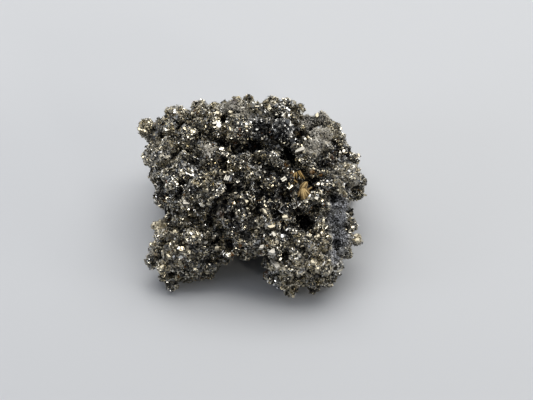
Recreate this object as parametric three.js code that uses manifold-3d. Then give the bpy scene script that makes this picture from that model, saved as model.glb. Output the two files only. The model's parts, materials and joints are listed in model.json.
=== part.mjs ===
// Pyrite specimen: a palm-sized lump of intergrown nodules, broken out of its vein.
// Millimetres, +Z up. The origin is the centre of the underside, on the table, and -Y faces the viewer.
// The whole specimen grew as one mass, so it is one closed solid.
import * as THREE from "three";
import { mergeVertices } from "three/addons/utils/BufferGeometryUtils.js";
import Module from "manifold-3d";

// The specimen is seen from above its front, at this many degrees over the table.
const VIEW_ELEVATION = THREE.MathUtils.degToRad(60);

// Nodules are measured on the face that the viewer sees:
// [across to the right, up the face, height of the centre over the table, radius].
// The middle of the face is 0 across and 0 up.
const SHOULDER_NODULES = [
  [-29.5, 19, 22, 2.7], [-28, 16.5, 20, 2.3], [-21, 21.5, 26, 3.9], [-22.5, 18.5, 27, 2.2],
  [-25, 19.5, 23, 2.6], [-14.5, 24, 25, 3], [-10.5, 23.5, 26, 2.8], [-10.5, 18.5, 28, 3.1],
  [-15, 19, 26, 2.7], [-17.5, 16, 28, 3.3], [-22.5, 13.5, 26, 2.6], [-27.5, 12.5, 22, 2.4],
  [-28, 10.5, 20, 3.1], [-24.5, 10.5, 24, 3.3], [-12, 11, 28, 4], [-18, 9, 27, 2.8],
  [-7.5, 11, 26, 2.5], [-27, 5.5, 19, 2.6], [-25, 4, 22, 2.8], [-22, 5, 25, 2.8],
  [-21, 2.5, 25, 2.7], [-24.5, 0.5, 20, 2.8], [-21, -1, 22, 2.4], [-23, -2.5, 18, 2],
  [-17, 5.5, 27, 2.8], [-13, 3, 28, 3.4], [-9.5, 1.5, 26, 2.5], [-15.5, 1, 26, 3],
  [-12.5, -0.5, 25, 2.7], [-17.5, -2, 23, 2.3], [-13.5, -3.5, 20, 2.5],
];
const CREST_NODULES = [
  [-4, 24, 26, 3.9], [-7, 24.5, 24, 2.5], [-1, 26, 25, 2.3], [-4, 19.5, 28, 3.4],
  [-2, 17, 28, 3], [-5.5, 16, 26, 2.5], [-3.5, 13, 24, 2.4], [1.5, 24, 25, 2.5],
  [6, 24.5, 26, 3.6], [10, 24.5, 25, 3], [13, 24, 23, 2.2], [11, 21.5, 25, 2.7],
  [4, 19, 26, 2.7], [8.5, 18, 27, 3.3], [5.5, 14.5, 24, 2.1],
  [-3.5, 8, 26, 3], [-6, 5, 25, 2.3], [-1, 9.5, 25, 2.4], [2, 10, 25, 2.5],
  [5.5, 10.5, 26, 2.8], [7.5, 8, 25, 2.2], [0.5, 5.5, 26, 2.7], [1, 2, 24, 2.1],
  [5.5, 2.5, 25, 2.5], [9.5, 3.5, 24, 2.5],
];
const RIGHT_NODULES = [
  [14, 18, 20, 2.5], [15.5, 21, 20, 2.5], [13, 12.5, 23, 2.5], [15.5, 14.5, 22, 2.2],
  [15, 9.5, 23, 2.8], [17.5, 10.5, 22, 2.4], [18, 13.5, 22, 2.8], [18.5, 17, 21, 2.4],
  [20, 21.5, 20, 2.7], [17.5, 21, 19, 2.2], [23, 19, 18, 2.7], [24.5, 15.5, 17, 2.2],
  [21, 17, 20, 2.7], [21, 13, 20, 2.4], [26, 12.5, 17, 2.5], [28.5, 10, 16, 2.4],
  [22, 9, 20, 2.4], [25.5, 8.5, 19, 2.5], [27, 5.5, 19, 3.8], [30, 4, 15, 2.8],
  [23.5, 5.5, 20, 2.8], [20.5, 5.5, 21, 2.5], [20, 2, 21, 2.5], [23.5, 2, 20, 2.5],
  [29.5, 1, 14, 2.6], [26.5, 0, 16, 2.2], [17, 6.5, 22, 2.1],
];
const MIDDLE_NODULES = [
  [18, -1, 21, 2.2], [20, -3.5, 19, 2.2], [15, -3, 20, 2.4], [-1, -2, 23, 2.7],
  [-5, -3, 22, 2.2], [-7.5, -5, 20, 2.4], [3, -2.5, 22, 2.2], [7, -2.5, 22, 2.4],
  [10.5, -2.5, 21, 2.2], [4, -5, 21, 2.4], [9.5, -6, 20, 2.4], [-2, -5.5, 21, 2.7],
  [-6, -7.5, 18, 2.4], [-1, -8.5, 19, 2.7], [3, -7.5, 20, 2.7], [6.5, -9, 19, 2.7],
  [10.5, -9.5, 18, 2.4], [-3, -12.5, 16, 3], [-5.5, -15, 14, 2.3], [-1.5, -15.5, 13, 2.2],
  [3.5, -14.5, 15, 2.4], [6, -12.5, 17, 2.4], [6.5, -15.5, 15, 2.4], [9, -13.5, 16, 2.4],
  [12.5, -12.5, 16, 2.4], [15, -12.5, 16, 2.4], [12, -16.5, 14, 2.4],
];
const RIGHT_FOOT_NODULES = [
  [19.5, -8.5, 17, 2.5], [20, -12.5, 16, 2.8], [17, -15, 15, 2.4], [15.5, -18, 12, 2.7],
  [19.5, -18.5, 12, 3.7], [23, -18.5, 10, 2.8], [21.5, -15.5, 14, 2.4], [7, -19.5, 11, 2.4],
  [5, -18.5, 11, 2], [10, -20, 11, 2.7], [13, -20, 11, 2.4], [9.5, -23.5, 6, 3],
  [6, -22.5, 6, 2.4], [12.5, -23.5, 6, 2.4], [11, -26, 3, 2.2], [17, -23.5, 6, 2.5],
  [20.5, -23, 6, 2.7], [16.5, -21, 9, 2.2], [17.5, -25.5, 3, 2], [25, -20.5, 7, 2.2],
  [25, -2.5, 17, 2.5], [24, -6, 17, 2.7], [23.5, -10, 15, 2.7], [27, -8.5, 13, 2.5],
  [26.5, -12.5, 12, 2.5], [26, -15.5, 10, 2.5], [29, -12.5, 10, 1.7],
];
const LEFT_FOOT_NODULES = [
  [-25.5, -8.2, 13, 2.4], [-22, -8, 14, 2.2], [-18.5, -7.5, 16, 2.2], [-14.5, -7.5, 15, 2.4],
  [-24, -11.5, 13, 2.7], [-20.5, -12, 14, 2.2], [-16, -11.5, 15, 2.8], [-12, -11, 14, 2.5],
  [-26, -15, 10, 2.5], [-22, -15.5, 12, 2.5], [-18, -15.5, 12, 2.4],
  [-13.5, -15, 12, 2.5], [-10.5, -15.5, 11, 2.4], [-27, -18.5, 7, 2.5], [-24, -19.5, 8, 2.5],
  [-20, -19, 8, 2.5], [-15.5, -20, 7, 2.7], [-11.5, -19.5, 7, 2.4], [-8, -17.5, 7, 1.9],
  [-24, -22.5, 4, 2.2], [-20.5, -22, 4, 2.5], [-17, -22.5, 3, 2.2], [-12, -21.5, 4, 2.2],
  [-22, -25, 2, 2],
];

// The rounded masses under the nodules, at their place on the table: centre and half sizes.
const LOBES = [
  { at: [-13, 4, 8], half: [13, 13.5, 19.5] },
  { at: [3, 6.5, 7], half: [15, 12.5, 20.5] },
  { at: [18, 0.5, 5], half: [10.5, 15.5, 17] },
  { at: [-22, 6, 19.5], half: [6, 6.5, 6.5] },
  { at: [-18.5, -5, 15], half: [8, 10, 10] },
  { at: [-14.5, -7, 19], half: [10.5, 10, 9] },
  { at: [0, -8, 16.5], half: [17, 12, 9] },
  { at: [3, -18, 15], half: [13.5, 9, 5.5] },
  { at: [25, -3, 14], half: [5.5, 6, 6] },
  { at: [18.5, -14, 9], half: [8.5, 9, 11] },
  { at: [-17.5, -21.5, 4], half: [9.5, 8, 11] },
  { at: [15, -22, 4.5], half: [10.5, 9, 11.5] },
  { at: [-13.5, -13, 7.5], half: [8.5, 8, 10] },
];

// Nodules over the sides and back, spread evenly over the lobes from one inner point.
const INNER_POINT = new THREE.Vector3(0, -3, 12);
const HIDDEN_DIRECTIONS = 170;
const HIDDEN_RADIUS = [2.9, 4.4];
const LOWEST_SLOPE = -0.5;
const FACE_LIMIT = 0.45;
const NEAREST_CENTRES = 0.62;
// A hidden nodule is sunk by this share of its radius, and its centre is at least this share over the table.
const SUNK_SHARE = 0.2;
const LOWEST_CENTRE = 0.5;

// Nodules have the twelve faces of a pyrite crystal, and those smaller than this have twenty.
const BUD_RADIUS = 2.65;
// Each nodule is wider or narrower than round by up to half of this share.
const SQUASH = 0.16;
// Seams between nodules are cleaned of slivers finer than this.
const SEAM_TOLERANCE = 0.35;
// Everything below the table, in a slab this wide and deep, is broken away.
const BREAK = { width: 200, depth: 60 };
const SEED = 15;

const PYRITE = new THREE.MeshStandardMaterial({
  name: "pyrite",
  color: 0xa39c88,
  roughness: 0.35,
  metalness: 1,
});

const wasm = await Module();
wasm.setup();

// A small repeatable random number from 0 to 1, so that every build is the same.
function makeRandom(seed) {
  let state = seed;
  return () => {
    state = (state * 1664525 + 1013904223) % 4294967296;
    return state / 4294967296;
  };
}
const random = makeRandom(SEED);

function solidFrom(geometry) {
  geometry.deleteAttribute("normal");
  geometry.deleteAttribute("uv");
  const merged = mergeVertices(geometry);
  return new wasm.Manifold(
    new wasm.Mesh({
      numProp: 3,
      vertProperties: merged.attributes.position.array,
      triVerts: new Uint32Array(merged.index.array),
    }),
  );
}

function geometryFrom(solid) {
  const mesh = solid.getMesh();
  const geometry = new THREE.BufferGeometry();
  geometry.setAttribute("position", new THREE.BufferAttribute(mesh.vertProperties, 3));
  geometry.setIndex(new THREE.BufferAttribute(mesh.triVerts, 1));
  return geometry;
}

// The place over the table of a point measured on the face: higher points lie nearer the viewer.
function placeOnFace(across, up, height) {
  const away = (up - height * Math.cos(VIEW_ELEVATION)) / Math.sin(VIEW_ELEVATION);
  return new THREE.Vector3(across, away, height);
}

function faceNodules() {
  const measured = [
    ...SHOULDER_NODULES,
    ...CREST_NODULES,
    ...RIGHT_NODULES,
    ...MIDDLE_NODULES,
    ...RIGHT_FOOT_NODULES,
    ...LEFT_FOOT_NODULES,
  ];
  return measured.map(([across, up, height, radius]) => ({
    centre: placeOnFace(across, up, height),
    radius,
  }));
}

// How far a ray from the inner point runs before it leaves the last lobe that it meets.
function reachOfLobes(direction) {
  let reach = 0;
  for (const { at, half } of LOBES) {
    const scale = new THREE.Vector3(...half);
    const start = INNER_POINT.clone().sub(new THREE.Vector3(...at)).divide(scale);
    const step = direction.clone().divide(scale);
    const along = start.dot(step) / step.lengthSq();
    const inside = along * along - (start.lengthSq() - 1) / step.lengthSq();
    if (inside > 0) reach = Math.max(reach, -along + Math.sqrt(inside));
  }
  return reach;
}

// Even directions on a sphere, by the golden angle.
function spreadDirection(index, count) {
  const slope = 1 - (2 * index + 1) / count;
  const ring = Math.sqrt(1 - slope * slope);
  const turn = index * Math.PI * (3 - Math.sqrt(5));
  return new THREE.Vector3(Math.cos(turn) * ring, Math.sin(turn) * ring, slope);
}

function hiddenNodules(shown) {
  const towardsViewer = new THREE.Vector3(0, -Math.cos(VIEW_ELEVATION), Math.sin(VIEW_ELEVATION));
  const nodules = [];
  for (let i = 0; i < HIDDEN_DIRECTIONS; i++) {
    const direction = spreadDirection(i, HIDDEN_DIRECTIONS);
    const radius = THREE.MathUtils.lerp(...HIDDEN_RADIUS, random());
    if (direction.z < LOWEST_SLOPE || direction.dot(towardsViewer) > FACE_LIMIT) continue;
    const reach = reachOfLobes(direction) - SUNK_SHARE * radius;
    const centre = INNER_POINT.clone().addScaledVector(direction, reach);
    const crowded = [...shown, ...nodules].some(
      (other) => other.centre.distanceTo(centre) < NEAREST_CENTRES * (other.radius + radius),
    );
    if (!crowded && centre.z > LOWEST_CENTRE * radius) nodules.push({ centre, radius });
  }
  return nodules;
}

function lobeSolid({ at, half }) {
  const ball = new THREE.IcosahedronGeometry(1, 2);
  ball.scale(...half);
  ball.translate(...at);
  return solidFrom(ball);
}

function noduleSolid({ centre, radius }) {
  const Ball = radius < BUD_RADIUS ? THREE.IcosahedronGeometry : THREE.DodecahedronGeometry;
  const ball = new Ball(radius);
  ball.scale(1 + SQUASH * (random() - 0.5), 1 + SQUASH * (random() - 0.5), 1);
  ball.rotateX(2 * Math.PI * random());
  ball.rotateZ(2 * Math.PI * random());
  ball.translate(...centre);
  return solidFrom(ball);
}

// The slab that is broken away, which leaves the flats that the specimen rests on.
function belowTable() {
  const slab = new THREE.BoxGeometry(BREAK.width, BREAK.width, BREAK.depth);
  slab.translate(0, 0, -BREAK.depth / 2);
  return solidFrom(slab);
}

// The outer surface alone: a pocket sealed between nodules is filled.
function withoutSealedPockets(solid) {
  const surfaces = solid.asOriginal().simplify(SEAM_TOLERANCE).decompose();
  return surfaces.reduce((largest, surface) => (surface.volume() > largest.volume() ? surface : largest));
}

function specimenGeometry() {
  const shown = faceNodules();
  const nodules = [...shown, ...hiddenNodules(shown)];
  const parts = [...LOBES.map(lobeSolid), ...nodules.map(noduleSolid)];
  const grown = parts.reduce((mass, part) => mass.add(part));
  const geometry = geometryFrom(withoutSealedPockets(grown.subtract(belowTable())));
  geometry.computeBoundingBox();
  const middle = geometry.boundingBox.getCenter(new THREE.Vector3());
  geometry.translate(-middle.x, -middle.y, -geometry.boundingBox.min.z);
  geometry.computeVertexNormals();
  return geometry;
}

const specimen = new THREE.Mesh(specimenGeometry(), PYRITE);
specimen.name = "pyrite_cluster";

const group = new THREE.Group();
group.add(specimen);

export default group;
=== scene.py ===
"""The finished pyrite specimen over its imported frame, with its table, its light and the photograph's view.

Everything is in metres in the frame of the CAD: +X to the right, +Y away from the viewer, +Z up.
"""

import json
import math

import bmesh
import bpy
import numpy as np
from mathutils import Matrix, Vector
from mathutils.bvhtree import BVHTree
from mathutils.kdtree import KDTree

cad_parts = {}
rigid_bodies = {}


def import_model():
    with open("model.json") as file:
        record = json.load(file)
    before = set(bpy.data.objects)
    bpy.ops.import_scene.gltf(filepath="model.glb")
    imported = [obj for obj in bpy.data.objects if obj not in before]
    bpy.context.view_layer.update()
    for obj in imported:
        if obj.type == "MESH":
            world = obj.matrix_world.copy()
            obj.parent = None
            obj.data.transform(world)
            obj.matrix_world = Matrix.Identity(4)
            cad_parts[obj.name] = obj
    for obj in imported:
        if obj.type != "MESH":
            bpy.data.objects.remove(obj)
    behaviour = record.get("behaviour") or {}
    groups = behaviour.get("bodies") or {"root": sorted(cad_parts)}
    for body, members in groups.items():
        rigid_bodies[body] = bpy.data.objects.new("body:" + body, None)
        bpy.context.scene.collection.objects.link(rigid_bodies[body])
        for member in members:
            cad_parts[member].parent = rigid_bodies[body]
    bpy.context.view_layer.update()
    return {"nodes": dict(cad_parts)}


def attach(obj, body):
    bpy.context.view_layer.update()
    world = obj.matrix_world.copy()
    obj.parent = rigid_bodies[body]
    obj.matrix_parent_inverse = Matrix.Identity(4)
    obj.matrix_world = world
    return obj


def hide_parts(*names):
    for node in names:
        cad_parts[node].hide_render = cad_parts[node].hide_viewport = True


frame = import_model()

MM = 0.001
NODE = "pyrite_cluster"
# All chance comes from this one seeded row of draws, so each run gives the same specimen.
SEED = 7
random = np.random.default_rng(SEED)

# The photograph's frame in pixels, and its view from above the front.
PHOTO_WIDTH = 533
PHOTO_HEIGHT = 400
CAMERA_ELEVATION = math.radians(60)
CAMERA_DISTANCE = 300 * MM
FIELD_OF_VIEW = math.radians(28)
CAMERA_TARGET = Vector((4.1, -3.8, 14.3)) * MM

TO_CAMERA = Vector((0, -math.cos(CAMERA_ELEVATION), math.sin(CAMERA_ELEVATION)))
CAMERA_RIGHT = Vector((1, 0, 0))
CAMERA_UP = TO_CAMERA.cross(CAMERA_RIGHT)
CAMERA_PLACE = CAMERA_TARGET + TO_CAMERA * CAMERA_DISTANCE

# The main light is a window behind and above the specimen, and a weak lamp stands at the right front.
WINDOW_PLACE = Vector((0.04, 0.42, 0.7))
FRONT_LAMP_PLACE = Vector((0.45, -0.5, 0.3))


# Helpers


def linear(hex_colour):
    """An sRGB hex colour as linear red, green, blue and alpha."""
    channels = [int(hex_colour[i : i + 2], 16) / 255 for i in (1, 3, 5)]
    return [c / 12.92 if c <= 0.04045 else ((c + 0.055) / 1.055) ** 2.4 for c in channels] + [1.0]


def deselect_all():
    for item in bpy.context.view_layer.objects:
        item.select_set(False)


def make_active(piece):
    deselect_all()
    piece.select_set(True)
    bpy.context.view_layer.objects.active = piece


def apply_modifier(piece, kind, **settings):
    make_active(piece)
    modifier = piece.modifiers.new(kind.lower(), kind)
    for name, value in settings.items():
        setattr(modifier, name, value)
    bpy.ops.object.modifier_apply(modifier=modifier.name)


def new_piece(name, mesh):
    piece = bpy.data.objects.new(name, mesh)
    bpy.context.scene.collection.objects.link(piece)
    return piece


def new_material(name):
    material = bpy.data.materials.new(name)
    material.use_nodes = True
    material.node_tree.nodes.clear()
    return material


def add_node(tree, kind, links=None, **settings):
    """A node with its settings, and its inputs linked from sockets or set to values."""
    node = tree.nodes.new(kind)
    for name, value in settings.items():
        setattr(node, name, value)
    for name, source in (links or {}).items():
        socket = node.inputs[name]
        if isinstance(source, bpy.types.NodeSocket):
            tree.links.new(source, socket)
        else:
            socket.default_value = source
    return node


def finish_material(tree, shader):
    add_node(tree, "ShaderNodeOutputMaterial", {"Surface": shader.outputs[0]})


def unit(vectors):
    return vectors / np.maximum(np.linalg.norm(vectors, axis=-1, keepdims=True), 1e-9)


def ray_through(u, v):
    """The direction from the camera through a pixel of the photograph's frame."""
    half_width = math.tan(FIELD_OF_VIEW / 2)
    across = (u - PHOTO_WIDTH / 2) / (PHOTO_WIDTH / 2) * half_width
    up = (PHOTO_HEIGHT / 2 - v) / (PHOTO_WIDTH / 2) * half_width
    return (CAMERA_RIGHT * across + CAMERA_UP * up - TO_CAMERA).normalized()


def seen_at(surface, u, v):
    """The place and outward direction of the surface seen at a pixel, or None where it shows the table."""
    place, normal, _, _ = surface.ray_cast(CAMERA_PLACE, ray_through(u, v))
    return None if place is None else (place, normal)


def mesh_arrays(mesh):
    """The places and outward directions of a mesh's points."""
    points = np.empty(len(mesh.vertices) * 3)
    mesh.vertices.foreach_get("co", points)
    normals = np.empty(len(mesh.vertices) * 3)
    mesh.vertices.foreach_get("normal", normals)
    return points.reshape(-1, 3), normals.reshape(-1, 3)


def triangle_arrays(mesh):
    mesh.calc_loop_triangles()
    corners = np.empty(len(mesh.loop_triangles) * 3, np.int32)
    mesh.loop_triangles.foreach_get("vertices", corners)
    return corners.reshape(-1, 3)


def move_points(piece, points):
    piece.data.vertices.foreach_set("co", points.ravel())
    piece.data.update()


def surface_of(piece):
    points, _ = mesh_arrays(piece.data)
    return BVHTree.FromPolygons([Vector(p) for p in points], triangle_arrays(piece.data).tolist())


def scatter(points, triangles, count):
    """Random places on a mesh, evenly by area: the corners of each one's triangle, and their weights."""
    a, b, c = points[triangles[:, 0]], points[triangles[:, 1]], points[triangles[:, 2]]
    area = np.linalg.norm(np.cross(b - a, c - a), axis=1)
    pick = random.choice(len(triangles), count, p=area / area.sum())
    r = np.sqrt(random.random(count))
    s = random.random(count)
    return triangles[pick], np.stack([1 - r, r * (1 - s), r * s], axis=1)


def blend(values, corners, weights):
    """Values given at a mesh's points, at scattered places on it."""
    return np.einsum("nk,nk...->n...", weights, values[corners])


def spread_out(places, spacing):
    """Which of the places keep at least the spacing from every earlier one that is kept."""
    cells = {}
    kept = []
    neighbours = [(x, y, z) for x in (-1, 0, 1) for y in (-1, 0, 1) for z in (-1, 0, 1)]
    for i, place in enumerate(places):
        cell = tuple((place // spacing).astype(int))
        near = [j for x, y, z in neighbours for j in cells.get((cell[0] + x, cell[1] + y, cell[2] + z), ())]
        if all(np.linalg.norm(places[j] - place) >= spacing for j in near):
            cells.setdefault(cell, []).append(i)
            kept.append(i)
    return kept


def nearest(targets, places):
    """The index of the nearest target, and its distance, for each place."""
    tree = KDTree(len(targets))
    for i, target in enumerate(targets):
        tree.insert(target, i)
    tree.balance()
    found = [tree.find(place) for place in places]
    return np.array([f[1] for f in found]), np.array([f[2] for f in found])


def step_up(values, low, high):
    """A smooth step from 0 at the low value to 1 at the high one."""
    share = np.clip((values - low) / (high - low), 0, 1)
    return share * share * (3 - 2 * share)


# The inner mass

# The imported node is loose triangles, whose corners meet within this distance.
CORNER_GAP = 0.002 * MM
VOXEL = 0.6 * MM
SMOOTHING = 0.5
ROUNDING = 2
# With this much more rounding the nodules are gone, and what they stood over that form is their height.
BROAD_ROUNDING = 45
RELIEF_GAIN = 0.9
RELIEF_LIMIT = 1.5 * MM
# The crust that is grown over the mass is about this thick.
CRUST_ALLOWANCE = 0.5 * MM
# The relief fades out over this height above the table, so that the broken underside stays flat.
BASE_FADE = 2.0 * MM

# Buds are the small clumps that each nodule is made of.
BUD_SPACING = 1.75 * MM
BUD_RADIUS = 1.25 * MM
BUD_HEIGHT = 0.4 * MM
# Between the buds the mass lies lower by this share of their height.
BUD_SINK = 0.3
# Their places are picked from this many by chance.
BUD_TRIES = 16000

# Deep dark gaps between the nodules: pixel, radius and depth in millimetres. A depth below 0 fills a gap up.
PITS = [
    (237, 148, 3.4, 2.0),
    (226, 143, 2.4, 1.8),
    (253, 151, 3.0, 1.6),
    (272, 149, 2.6, 1.6),
    (289, 154, 2.8, 2.0),
    (302, 137, 2.2, 1.6),
    (163, 136, 2.0, 2.5),
    (179, 136, 1.6, 1.2),
    (228, 188, 2.0, 2.0),
    (241, 189, 2.0, 1.6),
    (265, 178, 1.8, 1.6),
    (285, 200, 2.0, 1.6),
    (303, 222, 2.6, 4.5),
    (298, 219, 2.0, 2.0),
    (310, 225, 1.6, 2.5),
    (305, 229, 1.4, 2.0),
    (292, 226, 1.4, 1.5),
    (212, 223, 1.8, 1.2),
    (220, 231, 2.4, 2.4),
    (228, 246, 2.4, 3.0),
    (340, 245, 2.8, -2.5),
    (217, 118, 3.0, -1.5),
]

# Dents in the outline: pixel near the edge, radius and depth in millimetres, and 1 to push right or -1 to
# push left.
NOTCHES = [
    (161, 210, 5.0, 3.4, 1),
    (158, 192, 4.0, 1.0, 1),
    (149, 177, 3.5, 1.4, 1),
    (147, 158, 3.5, 0.8, 1),
    (352, 201, 2.6, 1.2, -1),
    (341, 278, 4.5, 2.4, -1),
    (346, 267, 3.0, 1.2, -1),
]
# Below 1 a dent has steeper sides and a flatter floor.
DENT_STEEPNESS = 0.7


def copy_of_node():
    piece = new_piece("sulphide_mass", frame["nodes"][NODE].data.copy())
    loose = bmesh.new()
    loose.from_mesh(piece.data)
    bmesh.ops.remove_doubles(loose, verts=loose.verts, dist=CORNER_GAP)
    loose.to_mesh(piece.data)
    loose.free()
    piece.data.materials.clear()
    return piece


def sink_dents(piece):
    """Push in the gaps, away from the camera, and the dents in the outline, to the side."""
    surface = surface_of(piece)
    points, _ = mesh_arrays(piece.data)
    pushes = [(u, v, radius, -TO_CAMERA * depth) for u, v, radius, depth in PITS]
    pushes += [(u, v, radius, CAMERA_RIGHT * way * depth) for u, v, radius, depth, way in NOTCHES]
    for u, v, radius, push in pushes:
        hit = seen_at(surface, u, v)
        if hit is None:
            print("no surface for the dent at", u, v)
            continue
        away = np.linalg.norm(points - np.array(hit[0]), axis=1) / (radius * MM)
        share = np.clip(1 - away**2, 0, 1) ** DENT_STEEPNESS
        points += np.array(push) * (share * MM)[:, None]
    points[:, 2] = np.maximum(points[:, 2], 0)
    move_points(piece, points)


def broad_form(piece):
    """The points of the mass and their outward directions once its nodules are rounded away."""
    twin = new_piece("broad_form", piece.data.copy())
    apply_modifier(twin, "SMOOTH", factor=SMOOTHING, iterations=BROAD_ROUNDING)
    arrays = mesh_arrays(twin.data)
    bpy.data.objects.remove(twin)
    return arrays


def make_sulphide_mass():
    """The mass under the crust: the CAD's nodules, raised to stand apart and swollen into buds.

    It comes with its form: the height of each point over the broad form, the nearest bud, the place on that
    bud from 0 at the foot to 1 at the crown, and the buds' own places."""
    piece = copy_of_node()
    apply_modifier(piece, "REMESH", mode="VOXEL", voxel_size=VOXEL)
    apply_modifier(piece, "SMOOTH", factor=SMOOTHING, iterations=ROUNDING)
    sink_dents(piece)
    points, _ = mesh_arrays(piece.data)
    broad_points, outward = broad_form(piece)
    height = ((points - broad_points) * outward).sum(axis=1)
    gain = np.full(len(points), RELIEF_GAIN)
    for share, change in zone_shares(surface_of(piece), points):
        gain -= share * (1 - change.get("relief", 1)) * (1 + RELIEF_GAIN)
    fade = step_up(points[:, 2], 0, BASE_FADE)
    points += outward * (fade * np.clip(gain * height, -RELIEF_LIMIT, RELIEF_LIMIT))[:, None]
    move_points(piece, points)

    points, normals = mesh_arrays(piece.data)
    corners, weights = scatter(points, triangle_arrays(piece.data), BUD_TRIES)
    tried = blend(points, corners, weights)
    bud_places = tried[spread_out(tried, BUD_SPACING)]
    bud, distance = nearest(bud_places, points)
    crown = np.clip(1 - (distance / BUD_RADIUS) ** 2, 0, 1)
    points += normals * (fade * (crown - BUD_SINK) * BUD_HEIGHT - CRUST_ALLOWANCE)[:, None]
    # The underside is broken flat, so it keeps its level.
    points[:, 2] = np.maximum(points[:, 2], 0)
    move_points(piece, points)
    return piece, {"height": height, "bud": bud, "crown": crown, "bud_places": bud_places}


# Zones where the crust differs from the rest

# What a zone changes. Its shade is added to that of the crust, and 0.5 leaves it as it is: less is darker,
# more is lighter; in many zones this is painted light or painted shade, as said below. Warmth goes from 0
# (bluish grey) to 1 (brassy), rust from 0 to 1, and dust from 0 (bare metal) to 1 (matt, fine-grained).
# Tarnish, frosted and turned are the shares of its crystals that are tarnished, frosted over, and turned
# towards the light. The size of its crystals, their cover and its relief are beside those of the rest, which
# are 1.
WORN = {"dust": 0.95, "shade": 0.28, "frosted": 0.0, "warmth": 0.05, "size": 0.62, "relief": 0.3}
POWDERY = {"dust": 0.8, "shade": 1.0, "warmth": 0.5, "size": 0.75, "relief": 0.6}
PALE_KNOB = {"dust": 0.6, "shade": 0.9, "warmth": 1.0}
BROWN = {"rust": 0.9, "warmth": 0.25, "shade": 0.4}
OCHRE = {"rust": 0.9, "warmth": 0.9, "shade": 0.6}
# Painted shade in hollows, with more tarnished crystals, fewer crystals and lower relief.
SHADED_HOLLOW = {"shade": 0.4, "tarnish": 0.62, "cover": 0.7, "relief": 0.75}
# Painted light where the feet, the shoulder and the crest's top catch the light, partly fresh and frosted
# crystals, and painted shade in the hollows between them, partly tarnish.
FRESH_AND_LIT_CRUST = {"shade": 0.95, "tarnish": 0.25, "frosted": 0.3}
TARNISHED_AND_SHADED_CRUST = {"shade": 0.25, "tarnish": 0.58, "frosted": 0.0}
FROSTED_AND_LIT_TOP = {"shade": 1.1, "tarnish": 0.25, "frosted": 0.25}
BLUISH_CRUST = {"shade": 0.2, "tarnish": 0.6, "warmth": 0.1}
# The left foot: coarser crystals, with painted light.
COARSE_FOOT = {"shade": 1.0, "tarnish": 0.42, "frosted": 0.2, "turned": 0.35, "size": 1.3, "relief": 1.3}
LIGHTER = {"shade": 0.9}
DARKER = {"shade": 0.2}
# Painted shade in gaps.
SHADED_GAP = {"shade": 0.1, "tarnish": 0.6}

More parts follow.
